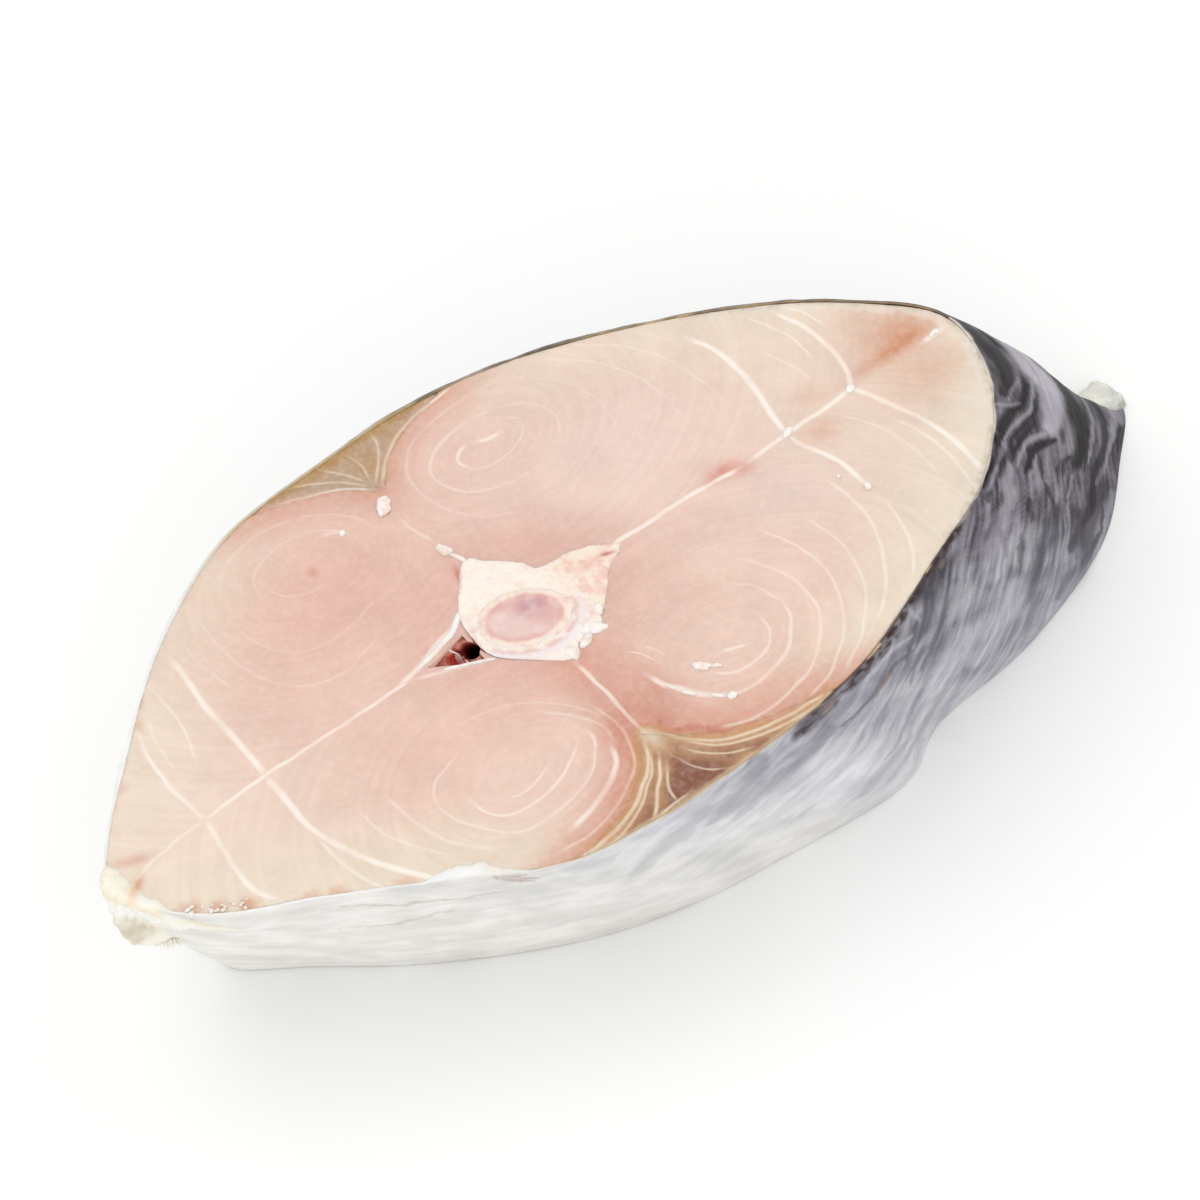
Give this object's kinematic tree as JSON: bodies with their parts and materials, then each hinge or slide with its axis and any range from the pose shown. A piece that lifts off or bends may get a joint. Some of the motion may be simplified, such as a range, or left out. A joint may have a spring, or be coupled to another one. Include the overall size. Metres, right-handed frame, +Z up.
{
  "type": "kingfish steak",
  "caption": "Thick raw fish steak cut obliquely across the tail half, with a vertebra, dark muscle wedges, silvery skin and trimmed fin stumps.",
  "frame": {"origin": "centre of the bounding box, on the surface the steak lies on", "axes": "+X towards the fish's back, +Y towards the far flank, +Z up out of the upper cut face"},
  "size_m": [0.1668, 0.0714, 0.03],
  "materials": {
    "flesh": "wet, translucent raw fish flesh, pale pink to cream",
    "dark_muscle": "wet brown lateral muscle with cream partitions",
    "bone": "fresh-cut porous bone, cream with a pink cast",
    "bone_core": "clear pink gel",
    "skin": "wet silvery skin, near black at the back, white at the belly",
    "fin": "translucent cream fin base with frayed rays"
  },
  "bodies": {
    "root": {"flesh": "flesh", "dark_muscle_near": "dark_muscle", "dark_muscle_far": "dark_muscle", "vertebra": "bone", "vertebra_core": "bone_core", "skin": "skin", "fin_stump_belly": "fin", "fin_stump_back": "fin"}
  },
  "joints": []
}
